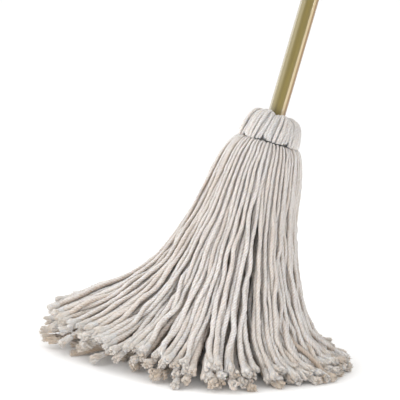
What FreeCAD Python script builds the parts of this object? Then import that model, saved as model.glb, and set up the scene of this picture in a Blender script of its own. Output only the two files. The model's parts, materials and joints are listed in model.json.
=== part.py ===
import FreeCAD, Part
import os
from math import atan2, cos, degrees, hypot, pi, radians, sin, sqrt, tan

# Cotton string mop: a yarn head bound with wire straight onto a wooden pole.
# Millimetres. +Z is up, the floor is z = 0, and the mop stands on its own yarn
# with the pole leaning towards +X and +Y. The head is laid out round the pole's
# axis. A "level" is the distance up the axis from the waist (the outer wire
# binding), a "radius" is the distance out from the axis, and an azimuth is
# measured round the axis from SIDE_X towards SIDE_Y.

os.makedirs("parts", exist_ok=True)
Vector = FreeCAD.Vector
ZERO = Vector(0, 0, 0)
UP = Vector(0, 0, 1)

# Stance
LEAN_X = 12.9             # lean of the pole, degrees
LEAN_Y = 8.0
WAIST_H = 288.0           # waist centre above the floor
ORIGIN = Vector(11.63, -2.10, 0.0)  # floor point under the middle of the whole mop

# Pole
POLE_R = 12.0
POLE_LEN = 1372.0
POLE_TIP = -40.0          # level of the lower end, buried in the yarn
POLE_TOP = POLE_TIP + POLE_LEN
POLE_TIP_R = 8.0          # the lower end tapers to this radius
POLE_TAPER_H = 6.0
SEAT_R = 11.0             # turned-down seat that the yarn is bound on
SEAT_TOP = 26.0           # level where the shoulder starts
SHOULDER_H = 4.0
SHOULDER_SHORTFALL = 0.15  # the shoulder's top is this much under full radius
POLE_FULL_LEVEL = 43.0    # full radius from here up, clear of the yarn
DOME_H = 8.0              # rounded top end
ROUND_HANDLE = 0.5523     # Bezier handle length for a quarter circle
HANG_HOLE_R = 4.0
HANG_HOLE_DOWN = 28.0     # hole centre below the pole's top
HANG_HOLE_CUT = 60.0      # length of the cutter

# Wire bindings
WIRE_R = 0.95
WIRE_CLEAR = 0.25         # keeps the coil's flats clear of the yarn inside it
COIL_PITCH = 1.98
COIL_SEGMENTS = 30        # straight runs per turn of wire
WAIST_R = 34.5            # yarn radius under the waist wire
WAIST_TURNS = 2
WAIST_PHASE = 95.0        # azimuth where the coil starts, degrees
INNER_R = 22.0            # yarn radius under the inner wire
INNER_MID = 16.2          # level of the inner coil's middle
INNER_TURNS = 3
INNER_PHASE = 20.0
TWIST_LEN = 15.0
TWIST_PITCH = 7.0
TWIST_R = WIRE_R + 0.04   # radius of each strand's helix
TWIST_OUT = WAIST_R + WIRE_CLEAR + 4 * WIRE_R + 0.2

# Staples that hold the inner wire
STAPLE_R = 1.0
STAPLE_HALF = 5.7         # from the middle to each leg
STAPLE_CROWN_R = 25.15
STAPLE_TIP_R = 5.0
STAPLE_BEND_R = 2.0
STAPLE_AZIMUTHS = (80.0, 260.0)

# Yarn wraps on the pole
WRAP_CLEAR = 0.1
INNER_BASE, INNER_TOP = 3.8, 26.6
INNER_CAP_R = 18.0
INNER_CAP_H = 3.4
NECK_BASE, NECK_TOP = -11.0, 3.4
NECK_FLANGE_R = 36.0

# Locks of yarn
N_LOCKS = 12              # folds, outer locks and tails, one each per sector
N_INNER = 6
LOCK_TOP = -12.5          # level where the locks start, below the waist binding
KNEE = 0.47               # lock and tail meet here, as a share of the path
KNEE_GAP = 0.006          # half the gap between them, as a share of the path
LOCK_SPANS = 7            # loft spans along each lock or tail
FILL = 0.935              # share of its sector that a lock fills
FILL_CUT = 0.062          # taken off that share near the top, so neighbours clear
FILL_CUT_START = -60.0    # the cut grows from this level up
FILL_CUT_RUN = 40.0       # and is complete after this rise
LOCK_BULGE = 0.04         # outward bulge of a lock, as a share of its half width

# Outside of the hanging yarn near the waist: (level, radius)
BELL = [(2, 37.0), (-4, 42.0), (-13, 51.0), (-26, 58.5), (-50, 62.5),
        (-85, 66.5), (-115, 72.0), (-148, 81.0)]
BELL_STEP = 6
BELL_END = BELL[-1][0]
INSIDE_SHARE = 0.60       # inside of the yarn, as a share of the bell's radius

# Footprint of the yarn on the floor
FOOT_X, FOOT_Y = -75.0, -38.0
# (degrees round its middle from +X, radius)
FOOT = [(0, 213), (15, 198), (40, 165), (70, 138), (95, 132), (120, 142),
        (145, 175), (162, 212), (173, 219), (182, 203), (196, 178), (211, 147),
        (227, 136), (245, 141), (261, 152), (276, 157), (294, 165), (312, 170),
        (325, 186), (340, 203), (352, 213), (360, 213)]
# (degrees round its middle from +X, height of the yarn's top at the edge)
PILE = [(0, 20), (40, 22), (90, 24), (150, 38), (180, 42), (215, 30),
        (270, 24), (320, 20), (360, 20)]
PILE_BASE = 2.0           # height of the yarn's underside at the edge
HEM_TUCK = 0.05           # how far the top of the edge draws in, as a share

# Path from the bell to the footprint: a cubic curve
CURVE_SPANS = 60
START_FLARE = 0.30        # outward share of the starting direction
START_HANDLE = 0.38       # handle lengths, as shares of the chord
END_HANDLE = 0.42
END_DIP = 24.0            # downward angle of the outside where it ends, degrees


# ------------------------------- frames -------------------------------------
def unit(vector):
    result = Vector(vector)
    result.normalize()
    return result


AXIS = unit(Vector(tan(radians(LEAN_X)), tan(radians(LEAN_Y)), 1.0))
SIDE_X = unit(Vector(1, 0, 0) - AXIS * AXIS.x)
SIDE_Y = AXIS.cross(SIDE_X)
WAIST = Vector(0, 0, WAIST_H)

# Pole frame: z along the pole's axis, zero at the waist centre
shifted_waist = WAIST - ORIGIN
POLE_FRAME = FreeCAD.Placement(FreeCAD.Matrix(
    SIDE_X.x, SIDE_Y.x, AXIS.x, shifted_waist.x,
    SIDE_X.y, SIDE_Y.y, AXIS.y, shifted_waist.y,
    SIDE_X.z, SIDE_Y.z, AXIS.z, shifted_waist.z,
    0, 0, 0, 1))
# Floor frame: upright, zero on the floor straight below the waist centre
FLOOR_FRAME = FreeCAD.Placement(ORIGIN * -1.0, FreeCAD.Rotation())


def save(name, shape, frame):
    placed = shape.copy()
    placed.Placement = frame.multiply(placed.Placement)
    placed.exportStep("parts/%s.step" % name)


def outward(azimuth):
    return SIDE_X * cos(azimuth) + SIDE_Y * sin(azimuth)


def sideways(azimuth):
    return SIDE_Y * cos(azimuth) - SIDE_X * sin(azimuth)


def level_and_radius(point):
    offset = point - WAIST
    level = offset.dot(AXIS)
    return level, (offset - AXIS * level).Length


def interpolate(table, x):
    for (x0, y0), (x1, y1) in zip(table, table[1:]):
        if min(x0, x1) <= x <= max(x0, x1):
            return y0 + (y1 - y0) * (x - x0) / (x1 - x0)


def turn(shape, angle):
    """Turn a pole-frame shape round the pole's axis, in degrees."""
    shape.rotate(ZERO, UP, angle)


def closed_polygon(points):
    return Part.makePolygon(points + [points[0]])


def chain(points):
    return [Part.makeLine(start, end) for start, end in zip(points, points[1:])]


def spin(wire):
    return Part.Face(wire).revolve(ZERO, UP, 360).Solids[0]


# -------------------------------- pole --------------------------------------
def make_pole(staples):
    dome_base = POLE_TOP - DOME_H
    profile = [(0, POLE_TIP), (POLE_TIP_R, POLE_TIP), (SEAT_R, POLE_TIP + POLE_TAPER_H),
               (SEAT_R, SEAT_TOP), (POLE_R - SHOULDER_SHORTFALL, SEAT_TOP + SHOULDER_H),
               (POLE_R, POLE_FULL_LEVEL), (POLE_R, dome_base)]
    edges = chain([Vector(radius, 0, level) for radius, level in profile])
    dome = Part.BezierCurve()
    dome.setPoles([Vector(POLE_R, 0, dome_base),
                   Vector(POLE_R, 0, POLE_TOP - DOME_H * (1 - ROUND_HANDLE)),
                   Vector(POLE_R * ROUND_HANDLE, 0, POLE_TOP),
                   Vector(0, 0, POLE_TOP)])
    edges.append(dome.toShape())
    edges.append(Part.makeLine(Vector(0, 0, POLE_TOP), Vector(0, 0, POLE_TIP)))
    pole = spin(Part.Wire(edges))
    # hanging hole, square to the axis along SIDE_Y
    hole_start = Vector(0, -HANG_HOLE_CUT / 2, POLE_TOP - HANG_HOLE_DOWN)
    pole = pole.cut(Part.makeCylinder(HANG_HOLE_R, HANG_HOLE_CUT, hole_start, Vector(0, 1, 0)))
    for staple in staples:
        pole = pole.cut(staple)
    return pole.Solids[0]


# ------------------------- staples and wire ---------------------------------
def make_staple(azimuth):
    """U-staple with its legs pointing at the axis and its crown across the wire."""
    low, high = INNER_MID - STAPLE_HALF, INNER_MID + STAPLE_HALF
    bend_start = STAPLE_CROWN_R - STAPLE_BEND_R
    inset = STAPLE_BEND_R * (1 - sqrt(0.5))
    low_tip = Vector(STAPLE_TIP_R, 0, low)
    low_bend = Vector(bend_start, 0, low)
    crown_low = Vector(STAPLE_CROWN_R, 0, low + STAPLE_BEND_R)
    crown_high = Vector(STAPLE_CROWN_R, 0, high - STAPLE_BEND_R)
    high_bend = Vector(bend_start, 0, high)
    high_tip = Vector(STAPLE_TIP_R, 0, high)
    low_mid = Vector(STAPLE_CROWN_R - inset, 0, low + inset)
    high_mid = Vector(STAPLE_CROWN_R - inset, 0, high - inset)
    spine = Part.Wire([
        Part.makeLine(low_tip, low_bend),
        Part.Arc(low_bend, low_mid, crown_low).toShape(),
        Part.makeLine(crown_low, crown_high),
        Part.Arc(crown_high, high_mid, high_bend).toShape(),
        Part.makeLine(high_bend, high_tip)])
    section = Part.Wire([Part.makeCircle(STAPLE_R, low_tip, Vector(1, 0, 0))])
    staple = spine.makePipeShell([section], True, True)
    turn(staple, azimuth)
    return staple


def make_coil(yarn_radius, mid_level, turns, phase):
    radius = yarn_radius + WIRE_CLEAR + WIRE_R
    rise = COIL_PITCH / (2 * pi)
    sections = []
    for i in range(COIL_SEGMENTS * turns + 1):
        angle = 2 * pi * i / COIL_SEGMENTS
        centre = Vector(radius * cos(angle), radius * sin(angle), rise * angle)
        tangent = Vector(-radius * sin(angle), radius * cos(angle), rise)
        sections.append(Part.Wire([Part.makeCircle(WIRE_R, centre, tangent)]))
    coil = Part.makeLoft(sections, True, True)
    coil.translate(Vector(0, 0, mid_level - turns * COIL_PITCH / 2))
    turn(coil, phase)
    return coil


def make_twist_strand(phase):
    """One of the wire's two ends, twisted together and laid along the binding."""
    helix = Part.makeHelix(TWIST_PITCH, TWIST_LEN, TWIST_R)
    tangent = Vector(0, 1, TWIST_PITCH / (2 * pi * TWIST_R))
    section = Part.Wire([Part.makeCircle(WIRE_R, Vector(TWIST_R, 0, 0), tangent)])
    strand = Part.Wire(helix.Edges).makePipeShell([section], True, True)
    turn(strand, phase)
    strand.rotate(ZERO, Vector(1, 0, 0), -90)  # lays it along +y
    strand.translate(Vector(TWIST_OUT, 0, 0))
    turn(strand, WAIST_PHASE)
    return strand


def make_waist_wire():
    coil = make_coil(WAIST_R, 0.0, WAIST_TURNS, WAIST_PHASE)
    return Part.makeCompound([coil] + [make_twist_strand(phase) for phase in (0.0, 180.0)])


# ----------------------- yarn wrapped on the pole ---------------------------
def make_ring(profile):
    return spin(closed_polygon([Vector(radius, 0, level) for radius, level in profile]))


def make_inner_wrap(staples):
    seat_bore = SEAT_R + WRAP_CLEAR
    pole_bore = POLE_R + WRAP_CLEAR
    cap_top = INNER_TOP + INNER_CAP_H
    wrap = make_ring([(seat_bore, INNER_BASE), (INNER_R, INNER_BASE), (INNER_R, INNER_TOP),
                      (INNER_CAP_R, cap_top), (pole_bore, cap_top),
                      (pole_bore, INNER_TOP + 1.9), (seat_bore, INNER_TOP - 1.0)])
    for staple in staples:
        wrap = wrap.cut(staple)
    return wrap.Solids[0]


def make_neck_wrap():
    bore = SEAT_R + WRAP_CLEAR
    return make_ring([(bore, NECK_BASE), (NECK_FLANGE_R, NECK_BASE),
                      (NECK_FLANGE_R, NECK_BASE + 4), (WAIST_R, NECK_BASE + 7),
                      (WAIST_R, NECK_TOP), (bore, NECK_TOP)])


# ---------------- folds: the bulb of yarn above the waist -------------------
FOLD_BASE = INNER_BASE
FOLD_BORE = POLE_R + 0.15
FOLD_CAVITY_R = 26.7      # hollow that houses the inner binding
FOLD_CAVITY_TOP = 30.4
# outside of a fold, from the pole over and down: (radius, level)
FOLD_OUTSIDE = [(FOLD_BORE, 37.0), (16.0, 40.5), (23.0, 41.6), (31.0, 38.6), (37.6, 32.0),
                (40.8, 23.0), (41.0, 14.0), (39.4, 7.0), (37.2, FOLD_BASE)]
FOLD_FILL = 0.965         # share of its sector that a fold fills
# (position across the fold as a share of its half angle, size of the outside)
FOLD_SLICES = [(-1.0, 0.955), (-0.62, 0.99), (0.0, 1.005), (0.62, 0.99), (1.0, 0.955)]


def fold_section(size):
    """Section of one fold: up over the inner binding and back down."""
    outside = []
    for radius, level in FOLD_OUTSIDE:
        # the change of size fades out towards the pole and the base
        radial = 1.0 + (size - 1.0) * max(0.0, (radius - 20.0) / 20.6)
        rise = 1.0 + (size - 1.0) * 0.5 * max(0.0, (level - FOLD_BASE) / 37.0)
        outside.append(Vector(radius * radial, 0, FOLD_BASE + (level - FOLD_BASE) * rise))
    curve = Part.BSplineCurve()
    curve.interpolate(outside)
    cavity_foot = Vector(FOLD_CAVITY_R, 0, FOLD_BASE)
    inside = [cavity_foot, Vector(FOLD_CAVITY_R, 0, FOLD_CAVITY_TOP),
              Vector(FOLD_BORE, 0, FOLD_CAVITY_TOP), outside[0]]
    return Part.Wire(chain(inside) + [curve.toShape(), Part.makeLine(outside[-1], cavity_foot)])


def make_fold(index):
    middle = 360.0 / N_LOCKS * index
    half_angle = 180.0 / N_LOCKS * FOLD_FILL
    sections = []
    for position, size in FOLD_SLICES:
        section = fold_section(size)
        turn(section, middle + position * half_angle)
        sections.append(section)
    return Part.makeLoft(sections, True, False)


# ----------------------------- yarn paths -----------------------------------
def foot_angle(point):
    return degrees(atan2(point.y - FOOT_Y, point.x - FOOT_X)) % 360.0


def hem_point(azimuth, z, scale):
    """Point on the scaled footprint's edge, at height z, in one half-plane of the axis."""
    direction = outward(azimuth)
    low, high = 20.0, 420.0
    for _ in range(40):
        radius = 0.5 * (low + high)
        level = (z - WAIST_H - radius * direction.z) / AXIS.z
        point = WAIST + AXIS * level + direction * radius
        reach = hypot(point.x - FOOT_X, point.y - FOOT_Y)
        if reach < interpolate(FOOT, foot_angle(point)) * scale:
            low = radius
        else:
            high = radius
    return point


def cubic(poles, x):
    rest = 1 - x
    return (poles[0] * (rest * rest * rest) + poles[1] * (3 * rest * rest * x)
            + poles[2] * (3 * rest * x * x) + poles[3] * (x * x * x))


def yarn_path(azimuth, depth):
    """Polyline of the yarn, waist to floor; depth 1 is the outside, 0 the inside."""
    direction = outward(azimuth)
    share = INSIDE_SHARE + (1.0 - INSIDE_SHARE) * depth

    def bell_point(level):
        return WAIST + AXIS * level + direction * (interpolate(BELL, level) * share)

    points = [bell_point(level) for level in range(BELL[0][0], BELL_END, -BELL_STEP)]
    start = bell_point(BELL_END)
    pile_top = interpolate(PILE, foot_angle(hem_point(azimuth, PILE_BASE, 1.0)))
    end_z = PILE_BASE + (pile_top - PILE_BASE) * depth
    end = hem_point(azimuth, end_z, 1.0 - HEM_TUCK * depth)
    away = unit(Vector(end.x - FOOT_X, end.y - FOOT_Y, 0))
    chord = (end - start).Length
    start_direction = unit(AXIS * -1.0 + direction * (START_FLARE * share))
    dip = radians(END_DIP * depth)
    end_direction = away * cos(dip) - UP * sin(dip)
    start_pole = start + start_direction * (chord * START_HANDLE)
    end_pole = end - end_direction * (chord * END_HANDLE)
    end_pole.z = max(end_pole.z, end_z)
    poles = [start, start_pole, end_pole, end]
    return points + [cubic(poles, i / CURVE_SPANS) for i in range(CURVE_SPANS + 1)]


def running_lengths(points):
    lengths = [0.0]
    for start, end in zip(points, points[1:]):
        lengths.append(lengths[-1] + (end - start).Length)
    return lengths


def resample(points, shares):
    """Points at the given shares of a polyline's length."""
    lengths = running_lengths(points)
    result = []
    for share in shares:
        target = share * lengths[-1]
        for i in range(len(points) - 1):
            if lengths[i + 1] >= target or i == len(points) - 2:
                part = (target - lengths[i]) / (lengths[i + 1] - lengths[i])
                result.append(points[i] + (points[i + 1] - points[i]) * part)
                break
    return result


def lock_start(azimuth):
    """Share of the middle path's length where it drops past the locks' top."""
    points = yarn_path(azimuth, 0.5)
    lengths = running_lengths(points)
    for point, length in zip(points[1:], lengths):
        if level_and_radius(point)[0] < LOCK_TOP:
            return length / lengths[-1]


# ------------------------ outer locks and tails -----------------------------
def make_lock(azimuth, first, last):
    """One length of yarn between two shares of the path: sections across it, lofted."""
    shares = [first + (last - first) * i / LOCK_SPANS for i in range(LOCK_SPANS + 1)]
    inner = resample(yarn_path(azimuth, 0.0), shares)
    outer = resample(yarn_path(azimuth, 1.0), shares)
    direction, across = outward(azimuth), sideways(azimuth)
    middles = [(inside + outside) * 0.5 for inside, outside in zip(inner, outer)]
    sections = []
    for i, middle in enumerate(middles):
        along = middles[min(i + 1, LOCK_SPANS)] - middles[max(i - 1, 0)]
        along = unit(along - across * along.dot(across))
        normal = unit(across.cross(along))
        if normal.dot(direction) < 0:
            normal = normal * -1.0
        half_thick = abs((outer[i] - inner[i]).dot(normal)) * 0.5
        corners = []
        for face, side in ((-1, -1), (-1, 0), (-1, 1), (1, 1), (1, 0), (1, -1)):
            point = middle + normal * (half_thick * face)
            level, radius = level_and_radius(point)
            cut_share = max(0.0, min(1.0, (level - FILL_CUT_START) / FILL_CUT_RUN))
            half_width = radius * tan(pi / N_LOCKS) * (FILL - FILL_CUT * cut_share)
            if face > 0 and side == 0:
                point = point + normal * (LOCK_BULGE * half_width)
            corners.append(point + across * (side * half_width))
        sections.append(closed_polygon(corners))
    return Part.makeLoft(sections, True, False)


BELOW_FLOOR = Part.makeBox(1200, 1200, 200, Vector(-600, -600, -200))


def trim_to_floor(solid):
    if solid.BoundBox.ZMin < 0.0:
        solid = max(solid.cut(BELOW_FLOOR).Solids, key=lambda piece: piece.Volume)
    return solid


# ------------------------------ inner locks ---------------------------------
def make_inner_lock(index):
    """Inner yarn: hangs along the axis round the pole's tip."""
    azimuth = 2 * pi / N_INNER * (index + 0.5)
    direction, across = outward(azimuth), sideways(azimuth)
    end = level_and_radius(hem_point(azimuth, 3.0, 0.36))[0] + 26.0
    # (level, radius)
    inside = [(LOCK_TOP, 13.0), (-30.0, 13.2), (-60.0, 9.0), (-120.0, 7.5), (end, 8.5)]
    outside = [(LOCK_TOP, 20.5), (-30.0, 23.0), (-60.0, 26.5), (-120.0, 30.0),
               (-180.0, 34.0), (end, 42.0)]
    levels = [LOCK_TOP, -30.0, -60.0, -90.0, -120.0, -150.0, -180.0,
              0.5 * (end - 180.0), end]
    sections = []
    for level in levels:
        near, far = interpolate(inside, level), interpolate(outside, level)
        corners = []
        for radius, side in ((near, -1), (near, 1), (far, 1), (far * 1.05, 0), (far, -1)):
            half_width = radius * tan(pi / N_INNER) * 0.92 - 0.3
            corners.append(WAIST + AXIS * level + direction * radius
                           + across * (side * half_width))
        sections.append(closed_polygon(corners))
    return Part.makeLoft(sections, True, True)


# ------------------------------- build --------------------------------------
staples = [make_staple(azimuth) for azimuth in STAPLE_AZIMUTHS]
save("handle_pole", make_pole(staples), POLE_FRAME)
save("inner_binding_staples", Part.makeCompound(staples), POLE_FRAME)
save("inner_binding_wire", make_coil(INNER_R, INNER_MID, INNER_TURNS, INNER_PHASE), POLE_FRAME)
save("waist_binding_wire", make_waist_wire(), POLE_FRAME)
save("inner_yarn_wrap", make_inner_wrap(staples), POLE_FRAME)
save("neck_yarn_wrap", make_neck_wrap(), POLE_FRAME)

for i in range(N_LOCKS):
    azimuth = 2 * pi / N_LOCKS * i
    lock = make_lock(azimuth, lock_start(azimuth), KNEE - KNEE_GAP)
    tail = make_lock(azimuth, KNEE + KNEE_GAP, 1.0)
    save("yarn_fold_%02d" % (i + 1), make_fold(i), POLE_FRAME)
    save("yarn_lock_%02d" % (i + 1), lock, FLOOR_FRAME)
    save("yarn_tail_%02d" % (i + 1), trim_to_floor(tail), FLOOR_FRAME)

for i in range(N_INNER):
    save("inner_yarn_lock_%02d" % (i + 1), make_inner_lock(i), FLOOR_FRAME)
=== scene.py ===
# A cotton string mop standing on the floor (z = 0): a lacquered pole, a bulb of folded yarn
# above the wire-bound waist, and a skirt of yarns that falls from the waist and spreads out.
# The head is laid out in millimetres in the pole's own frame: height runs up the pole from
# the waist, radius out from the pole's axis, azimuth round it. Meshes are built in metres.
# The camera looks along +y, so front is -y, left is -x and right is +x.
import bpy
import json
import math
import numpy as np
from mathutils import Matrix, Vector


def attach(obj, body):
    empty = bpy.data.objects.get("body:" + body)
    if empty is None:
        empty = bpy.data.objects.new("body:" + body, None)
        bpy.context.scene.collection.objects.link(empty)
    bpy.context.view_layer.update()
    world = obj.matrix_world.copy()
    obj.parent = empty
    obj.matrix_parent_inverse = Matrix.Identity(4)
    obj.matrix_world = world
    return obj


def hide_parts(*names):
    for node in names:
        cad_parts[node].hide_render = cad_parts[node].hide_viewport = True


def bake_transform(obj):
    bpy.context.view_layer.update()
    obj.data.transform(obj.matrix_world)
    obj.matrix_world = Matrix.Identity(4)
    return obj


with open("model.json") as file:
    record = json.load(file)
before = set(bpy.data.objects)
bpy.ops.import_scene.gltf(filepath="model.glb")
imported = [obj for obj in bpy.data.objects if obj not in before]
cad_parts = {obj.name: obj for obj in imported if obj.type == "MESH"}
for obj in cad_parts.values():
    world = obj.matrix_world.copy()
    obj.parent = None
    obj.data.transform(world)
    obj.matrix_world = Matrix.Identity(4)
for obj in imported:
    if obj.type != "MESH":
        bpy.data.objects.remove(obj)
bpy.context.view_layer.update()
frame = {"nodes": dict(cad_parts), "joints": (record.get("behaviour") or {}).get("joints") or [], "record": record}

# ---------------------------------------------------------------------------
# The pole's frame, from the CAD joints and mounts
# ---------------------------------------------------------------------------
TAU = math.tau
ROUGH_TAU = 6.28        # a full turn, rounded: random phases and the twist of the wrap
LOCK_COUNT, INNER_COUNT = 12, 6
ROOT = "pole_and_binding"
JOINTS = {joint["name"]: joint for joint in frame["joints"]}
WAIST_ABOVE_HINGES = 11.0
FLOOR_OFFSET = (-75.0, -38.0)       # middle of the footprint from the waist, x and y


def joint_place(name):
    return np.array(JOINTS[name]["pos_m"], float) * 1000.0


def unit(vectors):
    vectors = np.asarray(vectors, float)
    return vectors / np.maximum(np.linalg.norm(vectors, axis=-1, keepdims=True), 1e-12)


POLE_UP = unit(next(mount for mount in frame["record"]["mounts"]
                    if mount["name"] == "pole_grip")["axis"])
hinges = np.array([joint_place("lock_%02d_swing" % (k + 1)) for k in range(LOCK_COUNT)])
WAIST = hinges.mean(0) + POLE_UP * WAIST_ABOVE_HINGES
SIDE_A = hinges[0] - hinges.mean(0)
SIDE_A = unit(SIDE_A - POLE_UP * (SIDE_A @ POLE_UP))
SIDE_B = np.cross(POLE_UP, SIDE_A)
FLOOR_CENTRE = WAIST[:2] + np.array(FLOOR_OFFSET)


def outward(azimuths):
    return np.outer(np.cos(azimuths), SIDE_A) + np.outer(np.sin(azimuths), SIDE_B)


def pole_place(points):
    """Height above the waist and distance from the pole's axis."""
    offset = points - WAIST
    height = offset @ POLE_UP
    return height, np.linalg.norm(offset - height[..., None] * POLE_UP, axis=-1)


def lookup(table, value):
    return np.interp(value, table[:, 0], table[:, 1])


# ---------------------------------------------------------------------------
# Where the yarns run
# ---------------------------------------------------------------------------
# the outermost yarn from the binding out over the shoulder: height, radius
SHOULDER = np.array([
    (4.0, 31.7), (1.8, 32.0), (-1.2, 32.2), (-3.4, 32.8), (-4.8, 34.2), (-4.9, 36.2),
    (-3.9, 38.0), (-2.3, 39.4), (-2.2, 41.2), (-4.0, 43.6), (-7.2, 46.2), (-11.6, 48.8),
    (-17.0, 51.5), (-22.0, 53.6)])
# the same yarn on down the bell, and the core inside it: distance below the waist, radius
BELL = np.array([(22.0, 53.6), (28.0, 55.6), (50.0, 59.4), (85.0, 63.2), (115.0, 68.6),
                 (148.0, 77.6)])
CORE = np.array([(-4.0, 14.0), (34.0, 14.0), (60.0, 9.0), (200.0, 8.0)])
BELL_END = -BELL[-1, 0]
# outline of the skirt on the floor: degrees round FLOOR_CENTRE, radius
FOOTPRINT = np.array([
    (0, 205), (15, 184), (40, 168), (70, 142), (95, 138), (120, 150), (145, 184), (162, 218),
    (173, 226), (182, 223), (196, 203), (211, 171), (227, 155), (245, 156), (261, 161),
    (276, 166), (294, 173), (312, 179), (325, 195), (340, 212), (352, 214), (360, 205)], float)
# degrees round the footprint, height of the top of the pile there
PILE_TOP = np.array([
    (0, 7), (30, 14), (90, 24), (140, 36), (165, 39), (180, 38), (200, 34), (225, 28),
    (270, 19), (310, 11), (335, 7), (360, 7)], float)
# degrees round the footprint, how steeply the top yarns come down there, in degrees
STEEPNESS = np.array([(0, 5), (90, 15), (150, 25), (180, 26), (215, 20), (270, 13), (320, 6),
                      (360, 5)], float)
# azimuth of a yarn at the head, where it lands round the footprint, both in degrees
LANDING = np.array([
    (0, -3), (30, 26), (60, 62), (90, 99), (105, 117), (120, 133), (135, 147), (150, 158),
    (165, 167), (180, 175), (190, 182), (200, 191), (214, 206), (230, 230), (243, 250),
    (254.5, 270), (271, 290), (282.5, 309), (302, 326), (321.5, 339), (340, 348.5),
    (360, 357)], float)
# distance below the waist, yarn radius
YARN_RADIUS = np.array([(-4.0, 1.70), (3.0, 1.75), (8.0, 2.1), (20.0, 2.4), (50.0, 2.72),
                        (150.0, 3.10), (300.0, 3.55)])

STATIONS = 76                       # along each yarn while it is laid out
NEAR, NEAR_LENGTH = 22, 36.0        # the first ones are close together, round the waist
AZIMUTHS = 72
# layers of the laid-out skirt: 1 is the outside, 0 the innermost outer row, -1 the core
LAYERS = np.array([-1.0, -0.7, -0.4, -0.15, 0.0, 0.2, 0.45, 0.7, 0.85, 1.0, 1.12])
KNEE_LAYER = 6                      # index in LAYERS of the one the tail joints follow
FREEST_AZIMUTH = math.radians(318.0)    # the side the pole leans to
TURN_IN_BELL = 0.38                 # share of a yarn's sideways turn made within the bell
LOWEST_END = 3.8                    # height of the lowest yarn ends
UP = np.array((0, 0, 1.0))


def core_share(layer):
    """Share of the way from the core to the outside."""
    return 0.47 + 0.53 * layer if layer >= 0 else 0.47 + 0.47 * layer


def foot_point(degrees, height, scale):
    radius = lookup(FOOTPRINT, degrees) * scale
    angle = math.radians(degrees)
    return np.array((FLOOR_CENTRE[0] + radius * math.cos(angle),
                     FLOOR_CENTRE[1] + radius * math.sin(angle), height))


def path(azimuth, layer):
    """Centre line of the yarn at this azimuth and layer, from the binding to the floor."""
    share = core_share(layer)
    bell = np.arange(SHOULDER[-1, 0], BELL_END, -5.0)
    height = np.concatenate([SHOULDER[:-1, 0], bell])
    outer = np.concatenate([SHOULDER[:-1, 1], lookup(BELL, -bell)])
    inner = lookup(CORE, -height)
    radius = inner + (outer - inner) * share
    # inner rows pass up to 9 mm lower, under the outermost one
    under = np.interp(np.arange(len(height)), [2, 4, 8, 13, 20], [0, 1.0, 1.0, 0.6, 0.0])
    height = height - under * (9.0 * (1 - share))
    degrees = math.degrees(azimuth) % 360.0
    landing = lookup(LANDING, degrees)
    lower = np.clip((-30.0 - height) / (-30.0 - BELL_END), 0, 1)
    lower = lower * lower * (3 - 2 * lower)
    # the bell is a little flatter round azimuth 0
    radius = radius * (1 - 0.055 * max(0.0, math.cos(azimuth))
                       * np.clip((-6.0 - height) / 14.0, 0, 1)
                       * np.clip((height + 150.0) / 60.0, 0, 1))
    away = outward(azimuth + math.radians(landing - degrees) * TURN_IN_BELL * lower)
    points = WAIST + np.outer(height, POLE_UP) + away * radius[:, None]

    # a Bezier from the end of the bell down to the floor
    foot_degrees = landing % 360.0
    on_top = max(layer, 0.0)
    start = points[-1] - POLE_UP * (height[-1] - BELL_END)
    end_z = LOWEST_END + (lookup(PILE_TOP, foot_degrees) - LOWEST_END) * on_top
    end = foot_point(foot_degrees, end_z, 1.0 - 0.05 * on_top + 0.75 * min(layer, 0.0))
    floor_out = unit(end - np.array((FLOOR_CENTRE[0], FLOOR_CENTRE[1], end[2])))
    reach = np.linalg.norm(end - start)
    # 1 where the yarn hangs straight down most freely, 0 on the opposite side
    fall = 0.5 + 0.5 * math.cos(azimuth - FREEST_AZIMUTH)
    down = unit(-POLE_UP * (1 - 0.8 * fall) - np.array((0, 0, 0.8 * fall)))
    leave = unit(down + away[-1] * (0.30 * share))
    dip = math.radians(4.0 + lookup(STEEPNESS, foot_degrees) * on_top)
    arrive = floor_out * math.cos(dip) - UP * math.sin(dip)
    handle_a = start + leave * (reach * (0.38 + 0.07 * fall))
    handle_b = end - arrive * (reach * 0.42)
    handle_b[2] = max(handle_b[2], end_z)
    done = np.linspace(0.0, 1.0, 50)[1:, None]
    left = 1.0 - done
    curve = (start * left ** 3 + handle_a * 3 * left * left * done
             + handle_b * 3 * left * done * done + end * done ** 3)
    points = np.vstack([points, curve])

    # even spacing, smoothed below the shoulder, then the uneven stations
    steps = np.linalg.norm(np.diff(points, axis=0), axis=1)
    arc = np.concatenate([[0.0], np.cumsum(steps)])
    fine = np.linspace(0.0, arc[-1], 4 * STATIONS)
    points = np.stack([np.interp(fine, arc, points[:, i]) for i in range(3)], axis=1)
    soft = np.clip((fine - 70.0) / 60.0, 0, 1)[1:-1, None]
    for _ in range(60):
        points[1:-1] += soft * (0.25 * points[:-2] - 0.5 * points[1:-1] + 0.25 * points[2:])
    stations = np.concatenate([np.linspace(0.0, NEAR_LENGTH, NEAR, endpoint=False),
                               np.linspace(NEAR_LENGTH, arc[-1], STATIONS - NEAR)])
    return np.stack([np.interp(stations, fine, points[:, i]) for i in range(3)], axis=1)


def layer_path(azimuth, layer):
    """The path, carried on outwards for layers beyond the outside."""
    if layer <= 1.0:
        return path(azimuth, layer)
    outside, below = path(azimuth, 1.0), path(azimuth, 0.85)
    return outside + (outside - below) * (layer - 1.0) / 0.15


GRID = np.array([[layer_path(TAU * i / AZIMUTHS, layer) for layer in LAYERS]
                 for i in range(AZIMUTHS)])


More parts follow.
